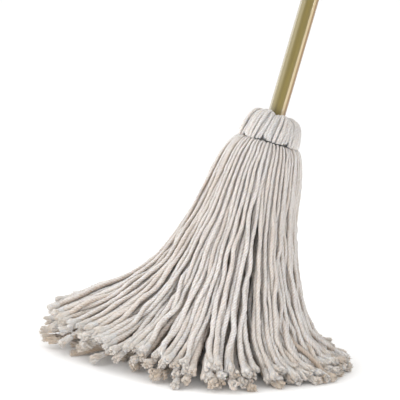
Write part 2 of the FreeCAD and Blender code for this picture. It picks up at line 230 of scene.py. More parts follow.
def sample(azimuth, layer, share):
    """Points of the laid-out skirt at an azimuth, a layer and a share of the length."""
    turn = (azimuth / TAU * AZIMUTHS) % AZIMUTHS
    turn_0 = np.floor(turn).astype(int) % AZIMUTHS
    turn_1 = (turn_0 + 1) % AZIMUTHS
    turn_part = (turn - np.floor(turn))[..., None]
    layer = np.clip(layer, LAYERS[0], LAYERS[-1])
    row = np.clip(np.searchsorted(LAYERS, layer, side="right") - 1, 0, len(LAYERS) - 2)
    row_part = ((layer - LAYERS[row]) / (LAYERS[row + 1] - LAYERS[row]))[..., None]
    station = np.clip(share, 0, 1) * (STATIONS - 1)
    station_0 = np.clip(np.floor(station).astype(int), 0, STATIONS - 2)
    part = (station - station_0)[..., None]

    def along(i, j):
        return GRID[i, j, station_0] * (1 - part) + GRID[i, j, station_0 + 1] * part

    def across(j):
        return along(turn_0, j) * (1 - turn_part) + along(turn_1, j) * turn_part
    return across(row) * (1 - row_part) + across(row + 1) * row_part


# ---------------------------------------------------------------------------
# The yarns of the skirt
# ---------------------------------------------------------------------------
rng = np.random.RandomState(4021)
strands = []                        # inner or not, sector, azimuth, layer


def add_strands(inner, sectors, offset, rows, stagger, fill, turn_jitter, layer_jitter):
    """Rows of (layer, yarn count) in every sector round the pole."""
    for sector in range(sectors):
        middle = TAU * (sector + offset) / sectors
        for row, (layer, count) in enumerate(rows):
            for j in range(count):
                place = ((j + 0.5 + stagger * (row % 2)) / count) % 1.0 - 0.5
                azimuth = (middle + place * (TAU / sectors) * fill
                           + rng.uniform(-1, 1) * turn_jitter)
                strands.append((inner, sector, azimuth, layer + rng.uniform(*layer_jitter)))


add_strands(False, LOCK_COUNT, offset=0.0, stagger=0.5, fill=1.0,
            rows=[(1.0, 5), (0.84, 5), (0.62, 5), (0.36, 4), (0.12, 3)],
            turn_jitter=0.014, layer_jitter=(-0.06, 0.04))
add_strands(True, INNER_COUNT, offset=0.5, stagger=0.0, fill=0.96,
            rows=[(-0.15, 4), (-0.45, 3), (-0.8, 2)],
            turn_jitter=0.02, layer_jitter=(-0.05, 0.05))
INNER, SECTOR, AZIMUTH, LAYER = (np.array(column) for column in zip(*strands))
YARNS = len(strands)
SHARES = np.linspace(0, 1, STATIONS)[None, :]


def wander(size, slowest, fastest, power):
    """Smooth random drift along each yarn, growing towards its end."""
    drift = np.zeros((YARNS, STATIONS))
    for _ in range(3):
        waves = rng.uniform(slowest, fastest, (YARNS, 1))
        phase = rng.uniform(0, TAU, (YARNS, 1))
        height = rng.normal(0, 1.0, (YARNS, 1))
        drift += height * (np.sin(TAU * waves * SHARES + phase) - np.sin(phase))
    return drift * size * 0.5 * np.clip((SHARES - 0.16) / 0.84, 0, 1) ** power


def yarn_radius(height):
    return lookup(YARN_RADIUS, -height)


# yarns end a little short of the outline, the top layers most
end_share = 1.0 - np.abs(rng.normal(0, 0.017, (YARNS, 1)))
end_share = np.clip(end_share, 0.945, 1.0)
end_share = end_share - 0.02 * np.clip(LAYER, 0, 1)[:, None] * rng.uniform(0, 1, (YARNS, 1))
azimuths = AZIMUTH[:, None] + wander(size=0.050, slowest=0.35, fastest=1.3, power=0.8)
# lower layers come up between the outer ones as the bell widens
rise = (np.where((LAYER > 0.28) & (LAYER < 0.94), 0.17, 0.06)[:, None]
        * np.clip((SHARES - 0.2) / 0.5, 0, 1))
layers = (LAYER[:, None] + rise * ~INNER[:, None]
          + wander(size=0.10, slowest=0.4, fastest=1.3, power=0.8))
layers = np.where(INNER[:, None], np.clip(layers, -1.0, -0.02), np.clip(layers, 0.02, 1.10))
laid = sample(azimuths, layers, SHARES - (1 - end_share) * np.clip((SHARES - 0.35) / 0.65, 0, 1))
# soft kinks across the yarn
for i in range(3):
    laid[:, :, i] += (wander(size=1.0, slowest=2.5, fastest=7.0, power=0.6) * 1.9
                      + wander(size=1.0, slowest=5.5, fastest=11.0, power=0.8) * 1.3)

# Settling of the yarns against each other
NEIGHBOUR_REACH = 15.0              # yarns closer than this are tested for overlap
PACKING = 0.94                      # share of the two radii that has to stay clear
PUSH, PUSH_LIMIT = 0.30, 1.2        # share of the overlap per round, and the most moved
PULL_BACK = 0.012                   # share of the way back to the laid-out place per round
POLE_CLEAR, POLE_END = 11.4, -39.0  # radius kept clear, down to this height


def near_pairs(lines, reach):
    """Pairs of yarns that pass close to each other at the same station."""
    stations, firsts, seconds = [], [], []
    for j in range(6, STATIONS):
        points = lines[:, j]
        square = (points * points).sum(1)
        gap_square = square[:, None] + square[None, :] - 2 * points @ points.T
        first, second = np.where(np.triu(gap_square < reach * reach, 1))
        stations.append(np.full(len(first), j))
        firsts.append(first)
        seconds.append(second)
    return np.concatenate(stations), np.concatenate(firsts), np.concatenate(seconds)


def relax(lines, radii, rounds):
    """Yarns push each other apart until they lie side by side."""
    laid_out = lines
    total = YARNS * STATIONS
    flat_radii = radii.reshape(-1)
    free = np.clip((np.arange(STATIONS) - 8.0) / 12.0, 0, 1)[None, :, None]
    for step in range(rounds):
        if step % 8 == 0:
            station, first, second = near_pairs(lines, NEIGHBOUR_REACH)
            first, second = first * STATIONS + station, second * STATIONS + station
        tangents = unit(np.gradient(lines, axis=1)).reshape(-1, 3)
        flat = lines.reshape(-1, 3)
        gap = flat[second] - flat[first]
        tangent = unit(tangents[first] + tangents[second])
        gap = gap - (gap * tangent).sum(1)[:, None] * tangent
        distance = np.linalg.norm(gap, axis=1)
        overlap = np.clip((flat_radii[first] + flat_radii[second]) * PACKING - distance, 0.0, 3.0)
        force = gap * (overlap * PUSH / np.maximum(distance, 0.3))[:, None]
        push = np.zeros((total, 3))
        for i in range(3):
            push[:, i] = (np.bincount(second, force[:, i], total)
                          - np.bincount(first, force[:, i], total))
        push = push.reshape(YARNS, STATIONS, 3)
        length = np.linalg.norm(push, axis=2, keepdims=True)
        push *= np.minimum(1.0, PUSH_LIMIT / np.maximum(length, 1e-9))
        for _ in range(3):
            push[:, 1:-1] = 0.25 * push[:, :-2] + 0.5 * push[:, 1:-1] + 0.25 * push[:, 2:]
        lines = lines + push * free
        lines += (laid_out - lines) * PULL_BACK
        if step % 4 == 3:
            lines[:, 1:-1] += free[:, 1:-1] * (0.1 * lines[:, :-2] - 0.2 * lines[:, 1:-1]
                                               + 0.1 * lines[:, 2:])
        # on the floor, outside the pole
        lines[:, :, 2] = np.maximum(lines[:, :, 2], radii + 0.4)
        height, radius = pole_place(lines)
        radial = unit(lines - WAIST - height[..., None] * POLE_UP)
        clear = np.maximum(radius, np.where(height > POLE_END, POLE_CLEAR + radii, 0.0))
        lines = lines + radial * (clear - radius)[..., None]
    return lines


laid = relax(laid, yarn_radius(pole_place(laid)[0]), rounds=70)

# ---------------------------------------------------------------------------
# Mesh code: many twisted tubes at once
# ---------------------------------------------------------------------------
# section of a yarn of four plies, twelve points round: radius factor, and 1 in the grooves
PLY = np.array([0.76, 0.985, 0.985] * 4)
GROOVE = np.array([1.0, 0.0, 0.0] * 4)
PAINTED_SHADE_MARK = 2                     # column of the painted shade (grooves and gaps) in a mesh's marks


def resample(lines, stations):
    """Centre lines at fractional station numbers, through a cubic."""
    i = np.clip(np.floor(stations).astype(int), 0, lines.shape[1] - 2)
    part = (stations - i)[None, :, None]
    padded = np.concatenate([2 * lines[:, :1] - lines[:, 1:2], lines,
                             2 * lines[:, -1:] - lines[:, -2:-1]], axis=1)
    before, start, end, after = (padded[:, i + k] for k in range(4))
    return 0.5 * ((2 * start) + (-before + end) * part
                  + (2 * before - 5 * start + 4 * end - after) * part * part
                  + (-before + 3 * start - 3 * end + after) * part ** 3)


def frames(lines):
    """Tangent and two cross directions at each point, without needless twist."""
    tangent = unit(np.gradient(lines, axis=1))
    normal = np.zeros_like(lines)
    last = np.where(np.abs(tangent[:, :1, 2:3]) > 0.9, np.array([[[1.0, 0, 0]]]),
                    np.array([[[0, 0, 1.0]]]))[:, 0]
    for j in range(lines.shape[1]):
        here = tangent[:, j]
        last = unit(last - (last * here).sum(1, keepdims=True) * here)
        normal[:, j] = last
    return tangent, normal, np.cross(tangent, normal)


def arc_lengths(lines):
    steps = np.linalg.norm(np.diff(lines, axis=1), axis=2)
    return np.concatenate([np.zeros((len(lines), 1)), np.cumsum(steps, axis=1)], axis=1)


def uv_cells(count, bottom, top, rows=1):
    """Left, bottom, right and top of one UV cell per tube, in rows."""
    per_row = int(math.ceil(count / float(rows)))
    height = (top - bottom) / rows
    cells = []
    for i in range(count):
        column, row = i % per_row, i // per_row
        cells.append(((column + 0.06) / per_row, bottom + height * (row + 0.04),
                      (column + 0.94) / per_row, bottom + height * (row + 0.96)))
    return np.array(cells)


class TubeMesh:
    """Gathers tubes into one mesh, with the attributes the yarn material reads."""

    def __init__(self):
        self.places, self.marks, self.polys, self.uvs = [], [], [], []
        self.total = 0

    def tubes(self, lines, radii, section, painted_shade, tone, tip, cells,
              turn=np.zeros((1, 1)), span=None, along_start=0.0):
        """Add one tube per line, kept between the two ring numbers in its span.

        Returns the vertices and their marks by tube, ring and point round the ring.
        """
        count, rings, _ = lines.shape
        sides = np.shape(section)[-1]
        _, normal, side = frames(lines)
        angle = (np.arange(sides) * TAU / sides)[None, None, :] + turn[:, :, None]
        radius = radii[:, :, None] * section
        places = (lines[:, :, None, :] + (np.cos(angle) * radius)[..., None] * normal[:, :, None]
                  + (np.sin(angle) * radius)[..., None] * side[:, :, None])
        along = arc_lengths(lines) + np.reshape(along_start, (-1, 1))
        marks = np.zeros((count, rings, sides, 5), np.float32)
        marks[..., 0] = tone[:, None, None]
        marks[..., 1] = np.broadcast_to(tip, (count, rings))[:, :, None]
        marks[..., PAINTED_SHADE_MARK] = painted_shade
        marks[..., 3] = along[:, :, None]
        marks[..., 4] = np.arange(sides) / sides
        index = np.arange(count * rings * sides).reshape(count, rings, sides)
        after = np.roll(index, -1, axis=2)
        quads = np.stack([index[:, :-1], after[:, :-1], after[:, 1:], index[:, 1:]], axis=-1)
        shape = (count, rings - 1, sides)
        if span is None:
            span = np.stack([np.zeros(count, int), np.full(count, rings - 1)], axis=1)
        ring = np.broadcast_to(np.arange(rings - 1)[None, :, None], shape)
        keep = (ring >= span[:, 0][:, None, None]) & (ring < span[:, 1][:, None, None])

        # UVs of each quad's corners: u round the tube, v along the kept span
        near_u = np.arange(sides) / sides
        far_u = (np.arange(sides) + 1) / sides
        share_u = np.broadcast_to(np.stack([near_u, far_u, far_u, near_u], -1), shape + (4,))
        ring_v = np.arange(rings) / (rings - 1)
        share_v = np.stack([ring_v[:-1], ring_v[:-1], ring_v[1:], ring_v[1:]], -1)
        share_v = np.broadcast_to(share_v[None, :, None], shape + (4,))
        first, last = ((column / (rings - 1.0))[:, None, None, None] for column in span.T)
        share_v = (share_v - first) / np.maximum(last - first, 1e-6)
        left, bottom, right, top = (edge[:, None, None, None] for edge in cells.T)
        uvs = np.stack([left + share_u * (right - left), bottom + share_v * (top - bottom)], -1)

        caps, cap_uvs = [], []
        around = np.arange(sides) * TAU / sides
        for i, (left, bottom, right, top) in enumerate(cells):
            middle = (left + right) / 2
            width = abs(right - left) * 0.02
            for cap, edge in ((index[i, span[i, 0]][::-1], bottom), (index[i, span[i, 1]], top)):
                caps.append(cap)
                cap_uvs.append(np.stack([middle + width * np.cos(around),
                                         edge + width * 0.2 * np.sin(around)], -1))
        self.places.append(places.reshape(-1, 3))
        self.marks.append(marks.reshape(-1, 5))
        self.polys += [quads[keep] + self.total, np.array(caps) + self.total]
        self.uvs += [uvs[keep], np.array(cap_uvs)]
        self.total += count * rings * sides
        return places, marks

    def build(self, name, replaced):
        """Make the cotton object that stands in for the CAD piece `replaced`."""
        places = np.vstack(self.places) / 1000.0
        places[:, 2] = np.maximum(places[:, 2], 0.0)
        marks = np.vstack(self.marks)
        used = np.zeros(len(places), bool)
        for poly in self.polys:
            used[poly.ravel()] = True
        renumber = np.cumsum(used) - 1
        places, marks = places[used], marks[used]
        polys = [renumber[poly] for poly in self.polys]
        loops = np.concatenate([poly.ravel() for poly in polys]).astype(np.int32)
        totals = np.concatenate([np.full(len(poly), poly.shape[1]) for poly in polys])
        totals = totals.astype(np.int32)
        starts = (np.cumsum(totals) - totals).astype(np.int32)
        uvs = np.concatenate([uv.reshape(-1, 2) for uv in self.uvs]).astype(np.float32)
        mesh = bpy.data.meshes.new(name)
        mesh.vertices.add(len(places))
        mesh.vertices.foreach_set("co", places.astype(np.float32).ravel())
        mesh.loops.add(len(loops))
        mesh.loops.foreach_set("vertex_index", loops)
        mesh.polygons.add(len(totals))
        mesh.polygons.foreach_set("loop_start", starts)
        mesh.polygons.foreach_set("loop_total", totals)
        mesh.update(calc_edges=True)
        mesh.polygons.foreach_set("use_smooth", totals <= 4)

        # the rims of the end caps are sharp
        rim = np.concatenate([np.stack([poly.ravel(), np.roll(poly, -1, axis=1).ravel()], 1)
                              for poly in polys if poly.shape[1] != 4])
        pairs = np.empty(len(mesh.edges) * 2, np.int32)
        mesh.edges.foreach_get("vertices", pairs)

        def edge_keys(ends):
            ends = np.sort(ends, axis=1).astype(np.int64)
            return ends[:, 0] * (len(places) + 1) + ends[:, 1]
        sharp = np.isin(edge_keys(pairs.reshape(-1, 2)), edge_keys(rim))
        mesh.edges.foreach_set("use_edge_sharp", sharp)

        for i, key in enumerate(("tone", "tip", "painted_shade")):
            attribute = mesh.attributes.new(key, "FLOAT", "POINT")
            attribute.data.foreach_set("value", np.ascontiguousarray(marks[:, i]))
        # along the yarn, round it, and a different place in the noise for each tone
        attribute = mesh.attributes.new("yarn", "FLOAT_VECTOR", "POINT")
        yarn = np.zeros((len(places), 3), np.float32)
        yarn[:, 0] = marks[:, 3]
        yarn[:, 1] = marks[:, 4]
        yarn[:, 2] = marks[:, 0] * 37.0
        attribute.data.foreach_set("vector", yarn.ravel())
        layer = mesh.uv_layers.new(name="OFBake")
        layer.data.foreach_set("uv", uvs.ravel())
        mesh.validate(clean_customdata=False)
        mesh.update()
        piece = bpy.data.objects.new(name, mesh)
        bpy.context.scene.collection.objects.link(piece)
        mesh.materials.append(COTTON)
        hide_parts(replaced)
        return piece


# ---------------------------------------------------------------------------
# Materials
# ---------------------------------------------------------------------------
BLACK, WHITE = (0, 0, 0), (1, 1, 1)


class Graph:
    """Adds shader nodes to one tree; all but add and feed return output sockets."""

    def __init__(self, tree):
        self.tree = tree

    def add(self, kind, **settings):
        node = self.tree.nodes.new(kind)
        for key, value in settings.items():
            setattr(node, key, value)
        return node

    def feed(self, node, inputs):
        """Link or set inputs, given by name or number."""
        for key, value in inputs.items():
            if isinstance(value, bpy.types.NodeSocket):
                self.tree.links.new(value, node.inputs[key])
            else:
                node.inputs[key].default_value = value

    def coords(self, output):
        return self.add("ShaderNodeTexCoord").outputs[output]

    def attribute(self, name, output="Fac"):
        return self.add("ShaderNodeAttribute", attribute_name=name).outputs[output]

    def math(self, operation, first, second, clamp=False):
        node = self.add("ShaderNodeMath", operation=operation, use_clamp=clamp)
        self.feed(node, {0: first, 1: second})
        return node.outputs[0]

    def plus(self, first, second):
        return self.math("ADD", first, second)

    def minus(self, first, second, clamp=False):
        return self.math("SUBTRACT", first, second, clamp)

    def times(self, first, second, clamp=False):
        return self.math("MULTIPLY", first, second, clamp)

    def linear(self, value, gain, offset, clamp=False):
        return self.math("ADD", self.times(value, gain), offset, clamp)

    def above(self, value, level, gain):
        """How far the value is above a level, with a gain, clamped to 0..1."""
        return self.times(self.minus(value, level), gain, clamp=True)

    def vector(self, operation, vector, constant):
        node = self.add("ShaderNodeVectorMath", operation=operation)
        self.feed(node, {0: vector, 1: tuple(constant)})
        return node.outputs["Value" if operation == "DOT_PRODUCT" else "Vector"]

    def split(self, vector):
        node = self.add("ShaderNodeSeparateXYZ")
        self.feed(node, {0: vector})
        return node.outputs

    def mix(self, factor, colour_a, colour_b):
        node = self.add("ShaderNodeMix", data_type="RGBA", blend_type="MIX")
        # inputs 6 and 7 are the two colours
        for key, value in ((0, factor), (6, colour_a), (7, colour_b)):
            self.feed(node, {key: value + (1.0,) if isinstance(value, tuple) else value})
        return node.outputs[2]

    def tint(self, base, mask, colour, strength):
        return self.mix(self.times(mask, strength), base, colour)

    def ramp(self, factor, *stops):
        """Colour ramp through stops of (position, colour)."""
        node = self.add("ShaderNodeValToRGB")
        elements = node.color_ramp.elements
        while len(elements) < len(stops):
            elements.new(0.5)
        for element, (position, colour) in zip(elements, stops):
            element.position = position
            element.color = colour + (1.0,)
        self.feed(node, {0: factor})
        return node.outputs[0]

    def noise(self, vector, scale, detail=2.0, rough=0.5, distortion=0.0, stretch=None):
        if stretch is not None:
            vector = self.vector("MULTIPLY", vector, stretch)
        node = self.add("ShaderNodeTexNoise")
        self.feed(node, {"Scale": scale, "Detail": detail, "Roughness": rough,
                         "Distortion": distortion, "Vector": vector})
        return node.outputs["Fac"]

    def bump(self, height, strength, distance):
        node = self.add("ShaderNodeBump")
        self.feed(node, {"Strength": strength, "Distance": distance, "Height": height})
        return node.outputs[0]

    def pole_position(self):
        """Position in the pole's own axes, in metres: x and y across it, z along it."""
        offset = self.vector("SUBTRACT", self.coords("Object"), WAIST / 1000.0)
        combined = self.add("ShaderNodeCombineXYZ")
        for i, axis in enumerate((SIDE_A, SIDE_B, POLE_UP)):
            self.feed(combined, {i: self.vector("DOT_PRODUCT", offset, axis)})
        return combined.outputs[0]


def new_material(name):
    material = bpy.data.materials.new(name)
    material.use_nodes = True
    tree = material.node_tree
    tree.nodes.clear()
    output = tree.nodes.new("ShaderNodeOutputMaterial")
    shader = tree.nodes.new("ShaderNodeBsdfPrincipled")
    tree.links.new(shader.outputs[0], output.inputs[0])
    return material, Graph(tree), shader


def cotton():
    material, nodes, shader = new_material("cotton_yarn_soft")
    tone, tip, painted_shade = (nodes.attribute(name) for name in ("tone", "tip", "painted_shade"))
    yarn = nodes.attribute("yarn", "Vector")
    place = nodes.coords("Object")
    # pale to brown by tone; the low, brown end mostly carries the painted shade of the inner layers
    base = nodes.ramp(tone, (0.0, (0.53, 0.415, 0.315)), (0.3, (0.69, 0.625, 0.573)),
                      (0.55, (0.738, 0.714, 0.700)), (1.0, (0.772, 0.762, 0.760)))
    cloudy = nodes.noise(place, scale=38.0, detail=3.0, rough=0.55)
    base = nodes.tint(base, cloudy, (0.73, 0.67, 0.625), strength=0.20)
    # painted shade: the length below the binding is a little darker and warmer
    below = nodes.times(nodes.split(nodes.pole_position())[2], -4.0, clamp=True)
    upper_skirt_shade = nodes.ramp(below, (0.0, BLACK), (0.10, (0.2, 0.2, 0.2)), (0.22, WHITE),
                       (0.55, WHITE), (0.85, BLACK))
    base = nodes.tint(base, upper_skirt_shade, (0.54, 0.47, 0.41), strength=0.15)
    # single fibres, running round with the twist
    fibre = nodes.noise(yarn, scale=2.4, detail=4.0, rough=0.65, stretch=(0.55, 9.0, 1.0))
    base = nodes.tint(base, nodes.minus(fibre, 0.45, clamp=True), (0.86, 0.85, 0.835),
                      strength=1.3)
    # the surface is rough and throws tiny shadows
    grain = nodes.noise(place, scale=430.0, detail=3.0, rough=0.75)
    pits = nodes.times(nodes.minus(0.55, grain), 5.0, clamp=True)
    base = nodes.tint(base, pits, (0.47, 0.405, 0.35), strength=0.5)
    # bits of seed and husk left in the cotton
    fleck = nodes.noise(yarn, scale=1.7, stretch=(0.8, 5.0, 3.0))
    fleck = nodes.ramp(fleck, (0.0, WHITE), (0.255, WHITE), (0.30, BLACK), (1.0, BLACK))
    base = nodes.tint(base, fleck, (0.34, 0.26, 0.18), strength=0.55)
    # painted shade: broken dark lines down the grooves, and on the yarns' sides and backs in the gaps
    broken = nodes.noise(yarn, scale=1.3, detail=3.0, rough=0.7, stretch=(1.0, 3.0, 1.0))
    broken = nodes.above(broken, level=0.22, gain=1.7)
    base = nodes.tint(base, nodes.times(painted_shade, broken), (0.41, 0.295, 0.20), strength=0.60)
    # cut ends are duller, with a tan cast
    dull = nodes.noise(place, scale=90.0, detail=3.0, rough=0.6)
    dull = nodes.times(nodes.math("POWER", tip, 2.2), nodes.above(dull, level=0.30, gain=2.6),
                       clamp=True)
    base = nodes.tint(base, dull, (0.44, 0.355, 0.265), strength=0.68)
    shader.inputs["Roughness"].default_value = 0.93     # applies only if unlinked
    nodes.feed(shader, {
        "Base Color": base,
        "Roughness": nodes.linear(fibre, gain=0.12, offset=0.85),
        "Specular IOR Level": 0.18,
        # light goes a little way into loose cotton and comes back warmer
        "Subsurface Weight": 0.40,
        "Subsurface Radius": (1.0, 0.80, 0.62),
        "Subsurface Scale": 0.0030,
        "Sheen Weight": 0.45,
        "Sheen Roughness": 0.45})
    fuzz = nodes.noise(place, scale=1500.0, rough=0.6)
    height = nodes.plus(nodes.times(fibre, 0.8), nodes.times(fuzz, 0.5))
    height = nodes.plus(height, nodes.times(grain, 1.6))
    nodes.feed(shader, {"Normal": nodes.bump(height, strength=0.8, distance=0.0009)})
    return material


def wood():
    material, nodes, shader = new_material("lacquered_pole_wood")
    place = nodes.pole_position()
    broad = nodes.noise(place, scale=90.0, detail=3.0, rough=0.55, distortion=0.4,
                        stretch=(1.0, 1.0, 0.035))
    base = nodes.ramp(broad, (0.25, (0.130, 0.100, 0.018)), (0.45, (0.175, 0.136, 0.027)),
                      (0.62, (0.215, 0.167, 0.038)), (0.8, (0.158, 0.119, 0.024)))
    fine = nodes.noise(place, scale=620.0, detail=4.0, rough=0.62, stretch=(1.0, 1.0, 0.02))
    line = nodes.ramp(fine, (0.40, BLACK), (0.60, WHITE))
    base = nodes.tint(base, line, (0.155, 0.110, 0.035), strength=0.34)
    pores = nodes.noise(place, scale=1500.0, stretch=(1.0, 1.0, 0.05))
    pores = nodes.ramp(pores, (0.0, WHITE), (0.30, WHITE), (0.36, BLACK), (1.0, BLACK))
    base = nodes.tint(base, pores, (0.10, 0.065, 0.025), strength=0.5)
    handling = nodes.noise(place, scale=14.0, stretch=(1.0, 1.0, 0.5))
    base = nodes.tint(base, handling, (0.30, 0.225, 0.065), strength=0.16)
    # painted highlight and painted shade: a pale band running along the pole, and a browner band beside it at the
    # pole's edge
    axes = nodes.split(place)
    azimuth = nodes.math("ARCTAN2", axes[1], axes[0])
    warp = nodes.noise(place, scale=70.0, stretch=(0.3, 0.3, 0.06))
    azimuth = nodes.plus(azimuth, nodes.times(nodes.minus(warp, 0.5), 0.35))
    # 0..1 over the three radians from azimuth -1.35
    sweep = nodes.math("DIVIDE", nodes.plus(azimuth, 1.35), 3.0, clamp=True)
    highlight_band = nodes.ramp(sweep, (0.08, BLACK), (0.12, WHITE), (0.19, WHITE), (0.23, BLACK))
    edge_shade_band = nodes.ramp(sweep, (0.19, BLACK), (0.23, WHITE), (0.62, WHITE), (0.80, BLACK))
    streak = nodes.linear(fine, gain=0.5, offset=0.45, clamp=True)
    # the painted highlight, then the painted edge shade, broken up by the grain
    base = nodes.tint(base, highlight_band, (0.70, 0.54, 0.32), strength=streak)
    base = nodes.tint(base, edge_shade_band, (0.26, 0.12, 0.03), strength=streak)
    nodes.feed(shader, {
        "Base Color": base,
        "Roughness": nodes.linear(fine, gain=0.18, offset=0.30),
        "Specular IOR Level": 0.5,
        "Coat Weight": 0.9,
        "Coat IOR": 1.52,
        "Coat Roughness": nodes.linear(handling, gain=0.16, offset=0.02)})
    height = nodes.minus(fine, nodes.times(pores, 0.8))
    nodes.feed(shader, {"Normal": nodes.bump(height, strength=0.22, distance=0.0003)})
    wave = nodes.noise(place, scale=60.0, stretch=(1.0, 1.0, 0.25))
    nodes.feed(shader, {"Coat Normal": nodes.bump(wave, strength=0.12, distance=0.0008)})
    return material


def wire():
    material, nodes, shader = new_material("galvanised_wire")
    place = nodes.pole_position()
    spangle = nodes.noise(place, scale=420.0, detail=3.0, rough=0.6)
    base = nodes.ramp(spangle, (0.3, (0.20, 0.195, 0.185)), (0.55, (0.36, 0.355, 0.345)),
                      (0.8, (0.50, 0.495, 0.485)))
    stain = nodes.ramp(nodes.noise(place, scale=95.0), (0.55, BLACK), (0.75, WHITE))
    base = nodes.tint(base, stain, (0.16, 0.11, 0.075), strength=0.35)
    nodes.feed(shader, {"Base Color": base, "Metallic": 0.9,
                        "Roughness": nodes.linear(spangle, gain=0.35, offset=0.28)})
    height = nodes.noise(place, scale=1800.0, detail=3.0, rough=0.6)
    nodes.feed(shader, {"Normal": nodes.bump(height, strength=0.3, distance=0.0002)})
    return material


COTTON, WOOD, WIRE = cotton(), wood(), wire()

for name, piece in frame["nodes"].items():
    if name == "handle_pole":
        material = WOOD
    elif "wire" in name or "staple" in name:
        material = WIRE
    else:
        continue
    piece.data.materials.clear()
    piece.data.materials.append(material)
    for polygon in piece.data.polygons:
        polygon.material_index = 0

# ---------------------------------------------------------------------------
# Skirt yarns
# ---------------------------------------------------------------------------
NEAR_RINGS, FAR_RINGS = ((36, 176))
RINGS = np.concatenate([np.linspace(0, NEAR, NEAR_RINGS, endpoint=False),
                        np.linspace(NEAR, STATIONS - 1, FAR_RINGS)])
SKIRT_PITCH = 18.0      # length of yarn to one turn of its twist
CUT_HEIGHT = -86.0      # about where locks hand over to tails
NECK_HEIGHT = -0.8      # where the neck hands over to locks
TUFT = 15.0             # length at the end without a solid yarn
BRUSH = 18.0            # length of the loosened plies at the end

LINES = resample(laid, RINGS)
HEIGHT, _ = pole_place(LINES)
LINES[:, :, 2] = np.maximum(LINES[:, :, 2], yarn_radius(HEIGHT) + 0.3)
ARC = arc_lengths(LINES)
LENGTH = ARC[:, -1]
# outer yarns are paler: the inner layers, down in the gaps, get a painted shade on top of their random tone
TONE = np.clip(rng.uniform(0.42, 1, YARNS) - 0.62 * np.clip(0.92 - LAYER, 0, 1), 0, 1)
RADIUS = yarn_radius(HEIGHT) * rng.uniform(0.93, 1.06, YARNS)[:, None]
# the yarn is a little uneven along its length
for _ in range(2):
    waves = rng.uniform(0.02, 0.09, (YARNS, 1))
    phase = rng.uniform(0, ROUGH_TAU, (YARNS, 1))
    RADIUS = RADIUS * (1 + 0.035 * np.sin(ARC * waves * ROUGH_TAU + phase))
# and swells as the twist slackens towards the cut
RADIUS = RADIUS * (1 + 0.17 * np.clip((ARC - (LENGTH[:, None] - 110.0)) / 80.0, 0, 1))
LINES[:, :, 2] = np.maximum(LINES[:, :, 2], RADIUS + 0.3)
# the twist, with some unevenness
TURN = ARC / SKIRT_PITCH * TAU + rng.uniform(0, ROUGH_TAU, (YARNS, 1))
TURN += (0.8 * np.sin(ARC * 0.06 + rng.uniform(0, ROUGH_TAU, (YARNS, 1)))
         + 0.35 * np.sin(ARC * 0.19 + rng.uniform(0, ROUGH_TAU, (YARNS, 1))))
SECTIONS = PLY * np.repeat(rng.uniform(0.92, 1.06, (YARNS, 1, 4)), 3, axis=2)
rough = np.random.RandomState(515).normal(0, 1, (YARNS, len(RINGS), len(PLY)))
rough += 0.5 * (np.roll(rough, 1, axis=2) + np.roll(rough, -1, axis=2))
SECTIONS = SECTIONS * (1 + 0.042 * np.clip(rough, -2.2, 2.2))
# ring numbers where each yarn changes from piece to piece
END = np.array([np.searchsorted(ARC[i], LENGTH[i] - TUFT) for i in range(YARNS)])
CUT = np.array([np.argmax(HEIGHT[i] < CUT_HEIGHT + rng.uniform(-14, 12)) for i in range(YARNS)])
NECK = np.array([np.argmax(HEIGHT[i] < NECK_HEIGHT) for i in range(YARNS)])
# the solid yarn draws in where its plies part
SOLID_RADIUS = RADIUS * (1 - 0.25 * np.clip((ARC - (LENGTH - TUFT - 5.0)[:, None]) / 7.0, 0, 1))
TIP = np.clip(1 - (LENGTH[:, None] - ARC) / 90.0, 0, 1)


def tip_shades(first, last, count):
    return first + (last - first) * np.linspace(0, 1, count)


